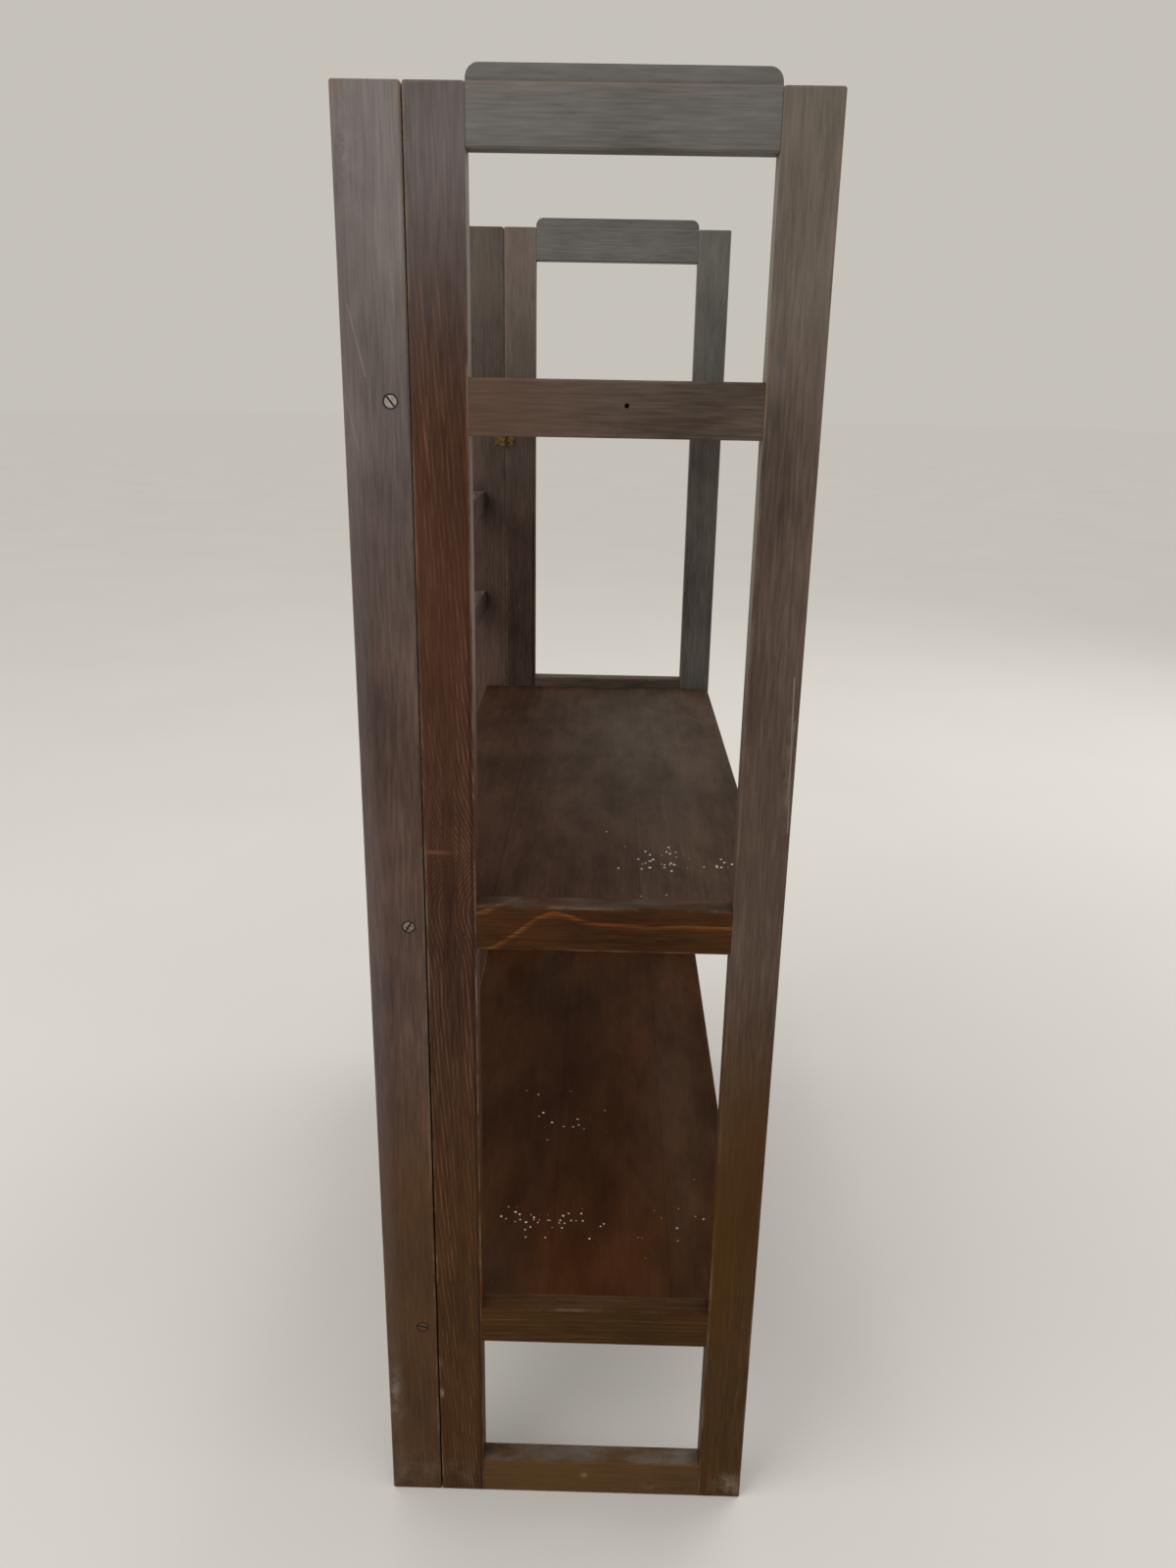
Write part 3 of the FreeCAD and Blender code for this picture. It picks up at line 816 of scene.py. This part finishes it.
def finish_metal():
    """Pivot screws, duller and more tarnished from top to bottom, and the hinges."""
    heads = {
        "top": (tone(182, 174, 164), tone(120, 108, 96), 0.3),
        "middle": (tone(150, 140, 124), tone(92, 80, 66), 0.5),
        "lower": (tone(112, 92, 64), tone(82, 63, 42), 0.8),
    }
    for shelf, (steel, tarnish, cover) in heads.items():
        node = shelf + "_shelf_pivot_screws"
        paint(node, old_metal(node + "_steel", steel, tarnish, cover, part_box(node)))
    brass = old_metal("hinge_brass_aged", tone(160, 128, 76), tone(80, 60, 34), 0.6)
    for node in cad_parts:
        if "_hinge_" in node:
            paint(node, brass)


def slotted_screw(length, seat, side):
    """Mesh of one small countersunk screw: slotted head that faces inwards, cone and shank."""
    shape = bmesh.new()
    bmesh.ops.create_circle(shape, cap_ends=True, segments=SCREW_SIDES, radius=SCREW_HEAD_RADIUS)
    for edge_y in (-SCREW_SLOT_WIDTH / 2, SCREW_SLOT_WIDTH / 2):
        everything = shape.verts[:] + shape.edges[:] + shape.faces[:]
        bmesh.ops.bisect_plane(shape, geom=everything, plane_co=(0, edge_y, 0), plane_no=(0, 1, 0))
    slot = min(shape.faces, key=lambda face: abs(face.calc_center_median().y))
    floor = bmesh.ops.extrude_discrete_faces(shape, faces=[slot])["faces"][0]
    bmesh.ops.translate(shape, verts=floor.verts[:], vec=(0, 0, -SCREW_SLOT_DEPTH))
    rim = [edge for edge in shape.edges if edge.is_boundary]
    cone = (SCREW_SHANK_RADIUS / SCREW_HEAD_RADIUS, SCREW_HEAD_HEIGHT)
    shank = (1.0, length)
    for radius_share, drop in (cone, shank):
        made = bmesh.ops.extrude_edge_only(shape, edges=rim)["geom"]
        ring = [vert for vert in made if isinstance(vert, bmesh.types.BMVert)]
        for vert in ring:
            vert.co.z = -drop
        bmesh.ops.scale(shape, verts=ring, vec=(radius_share, radius_share, 1.0))
        rim = [edge for edge in made if isinstance(edge, bmesh.types.BMEdge)]
    bmesh.ops.edgeloop_fill(shape, edges=rim)
    bmesh.ops.recalc_face_normals(shape, faces=shape.faces[:])
    turn = Vector((-side, 0, 0)).to_track_quat("Z", "Y").to_matrix().to_4x4()
    spin = Matrix.Rotation(math.radians(SCREW_SLOT_ANGLE), 4, "Z")
    bmesh.ops.transform(shape, matrix=Matrix.Translation(seat) @ turn @ spin, verts=shape.verts[:])
    return shape


def leaf_seats(end, side, leaf):
    """Head places of the screws in the post leaves or the frame leaves of one end."""
    for hinge in ("upper", "lower"):
        low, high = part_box(end + "_" + hinge + "_hinge_" + leaf + "_leaf")
        timber_x = max(low.x, high.x, key=abs)
        y = high.y - LEAF_SCREW_EDGE if leaf == "post" else low.y + LEAF_SCREW_EDGE
        for z in (low.z + LEAF_SCREW_INSET, high.z - LEAF_SCREW_INSET):
            yield Vector((timber_x - side * LEAF_THICKNESS, y, z))


def cleat_seats(end, side):
    """Head places of the screws in the cleats of one end, where a rail backs the cleat."""
    for shelf, rail in (("top", "upper"), ("middle", "middle"), ("lower", "lower")):
        low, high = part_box(end + "_" + shelf + "_shelf_cleat")
        rail_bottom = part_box(end + "_" + rail + "_rail")[0].z
        inner_x = min(low.x, high.x, key=abs)
        z = (max(low.z, rail_bottom) + high.z) / 2
        for y in (low.y + CLEAT_SCREW_INSET, high.y - CLEAT_SCREW_INSET):
            yield Vector((inner_x + side * CLEAT_SCREW_SINK, y, z))


def add_screws(node, body, seats, length, side, brass):
    """One piece with all the screws of a CAD node, in that node's place."""
    mesh = bpy.data.meshes.new(node + "_slotted")
    whole = bmesh.new()
    for seat in seats:
        one = slotted_screw(length, seat, side)
        one.to_mesh(mesh)
        one.free()
        whole.from_mesh(mesh)
    whole.to_mesh(mesh)
    whole.free()
    mesh.materials.append(brass)
    piece = bpy.data.objects.new(mesh.name, mesh)
    bpy.context.scene.collection.objects.link(piece)
    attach(piece, body)
    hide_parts(node)


def make_small_screws():
    """Screws of the hinge leaves and cleats of both ends."""
    brass = old_metal("screw_brass_aged", tone(170, 138, 84), tone(88, 66, 38), 0.5)
    for end, side in (("left", -1), ("right", 1)):
        swing = end + "_end_frame"
        in_post = leaf_seats(end, side, "post")
        in_frame = leaf_seats(end, side, "frame")
        in_cleats = cleat_seats(end, side)
        add_screws(end + "_post_leaf_screws", "back_frame", in_post, LEAF_SCREW_LENGTH, side, brass)
        add_screws(end + "_frame_leaf_screws", swing, in_frame, LEAF_SCREW_LENGTH, side, brass)
        add_screws(end + "_cleat_screws", swing, in_cleats, CLEAT_SCREW_LENGTH, side, brass)


def make_floor():
    mesh = bpy.data.meshes.new("floor")
    shape = bmesh.new()
    bmesh.ops.create_circle(shape, cap_ends=True, segments=FLOOR_SIDES, radius=FLOOR_RADIUS)
    shape.to_mesh(mesh)
    shape.free()
    floor = bpy.data.objects.new("floor", mesh)
    bpy.context.scene.collection.objects.link(floor)
    finish = Finish(bpy.data.materials.new("pale_floor"))
    cloud = finish.noise(finish.scaled((0.0, 0.0, 0.0), FLOOR_CLOUD_SCALE))
    colour = finish.mix(cloud, *FLOOR_TONES)
    mesh.materials.append(finish.done(base_color=colour, roughness=0.9, specular_ior_level=0.1))


def make_light():
    studio = Finish(bpy.data.worlds.new("studio"))
    seen = studio.node("ShaderNodeLightPath", output="Is Camera Ray")
    for ray in ("Is Glossy Ray", "Is Transmission Ray"):
        seen = seen.most(studio.node("ShaderNodeLightPath", output=ray))
    colour = studio.mix(seen, STUDIO_LIGHT, BACKDROP_TONE)
    shader = studio.node("ShaderNodeBackground", None, {"Color": colour})
    studio.node("ShaderNodeOutputWorld", None, {"Surface": shader})
    bpy.context.scene.world = studio.holder
    for name, place, watts in SOFT_LAMPS:
        lamp = bpy.data.lights.new(name, "AREA")
        lamp.shape = "RECTANGLE"
        lamp.size, lamp.size_y = SOFT_LAMP_SIZE
        lamp.energy = watts
        holder = bpy.data.objects.new(name, lamp)
        holder.location = place
        aim = Vector((0.0, 0.0, SOFT_LAMP_AIM_HEIGHT)) - holder.location
        holder.rotation_euler = aim.to_track_quat("-Z", "Y").to_euler()
        bpy.context.scene.collection.objects.link(holder)


def make_camera():
    ahead = Vector((
        math.cos(CAMERA_PITCH) * math.cos(CAMERA_YAW),
        math.cos(CAMERA_PITCH) * math.sin(CAMERA_YAW),
        math.sin(CAMERA_PITCH),
    ))
    level = Vector((math.sin(CAMERA_YAW), -math.cos(CAMERA_YAW), 0.0))
    above = level.cross(ahead)
    right = level * math.cos(CAMERA_ROLL) + above * math.sin(CAMERA_ROLL)
    up = above * math.cos(CAMERA_ROLL) - level * math.sin(CAMERA_ROLL)
    turn = Matrix((right, up, -ahead)).transposed().to_4x4()
    lens = bpy.data.cameras.new("camera")
    lens.lens = CAMERA_LENS
    lens.sensor_width = CAMERA_SENSOR
    lens.clip_start = CAMERA_CLIP_START
    camera = bpy.data.objects.new("camera", lens)
    camera.matrix_world = Matrix.Translation(CAMERA_PLACE) @ turn
    bpy.context.scene.collection.objects.link(camera)
    bpy.context.scene.camera = camera


finish_uprights()
finish_rails()
finish_shelves()
finish_small_timber()
finish_metal()
make_small_screws()
make_floor()
make_light()
make_camera()
bpy.context.scene.view_settings.view_transform = "Standard"
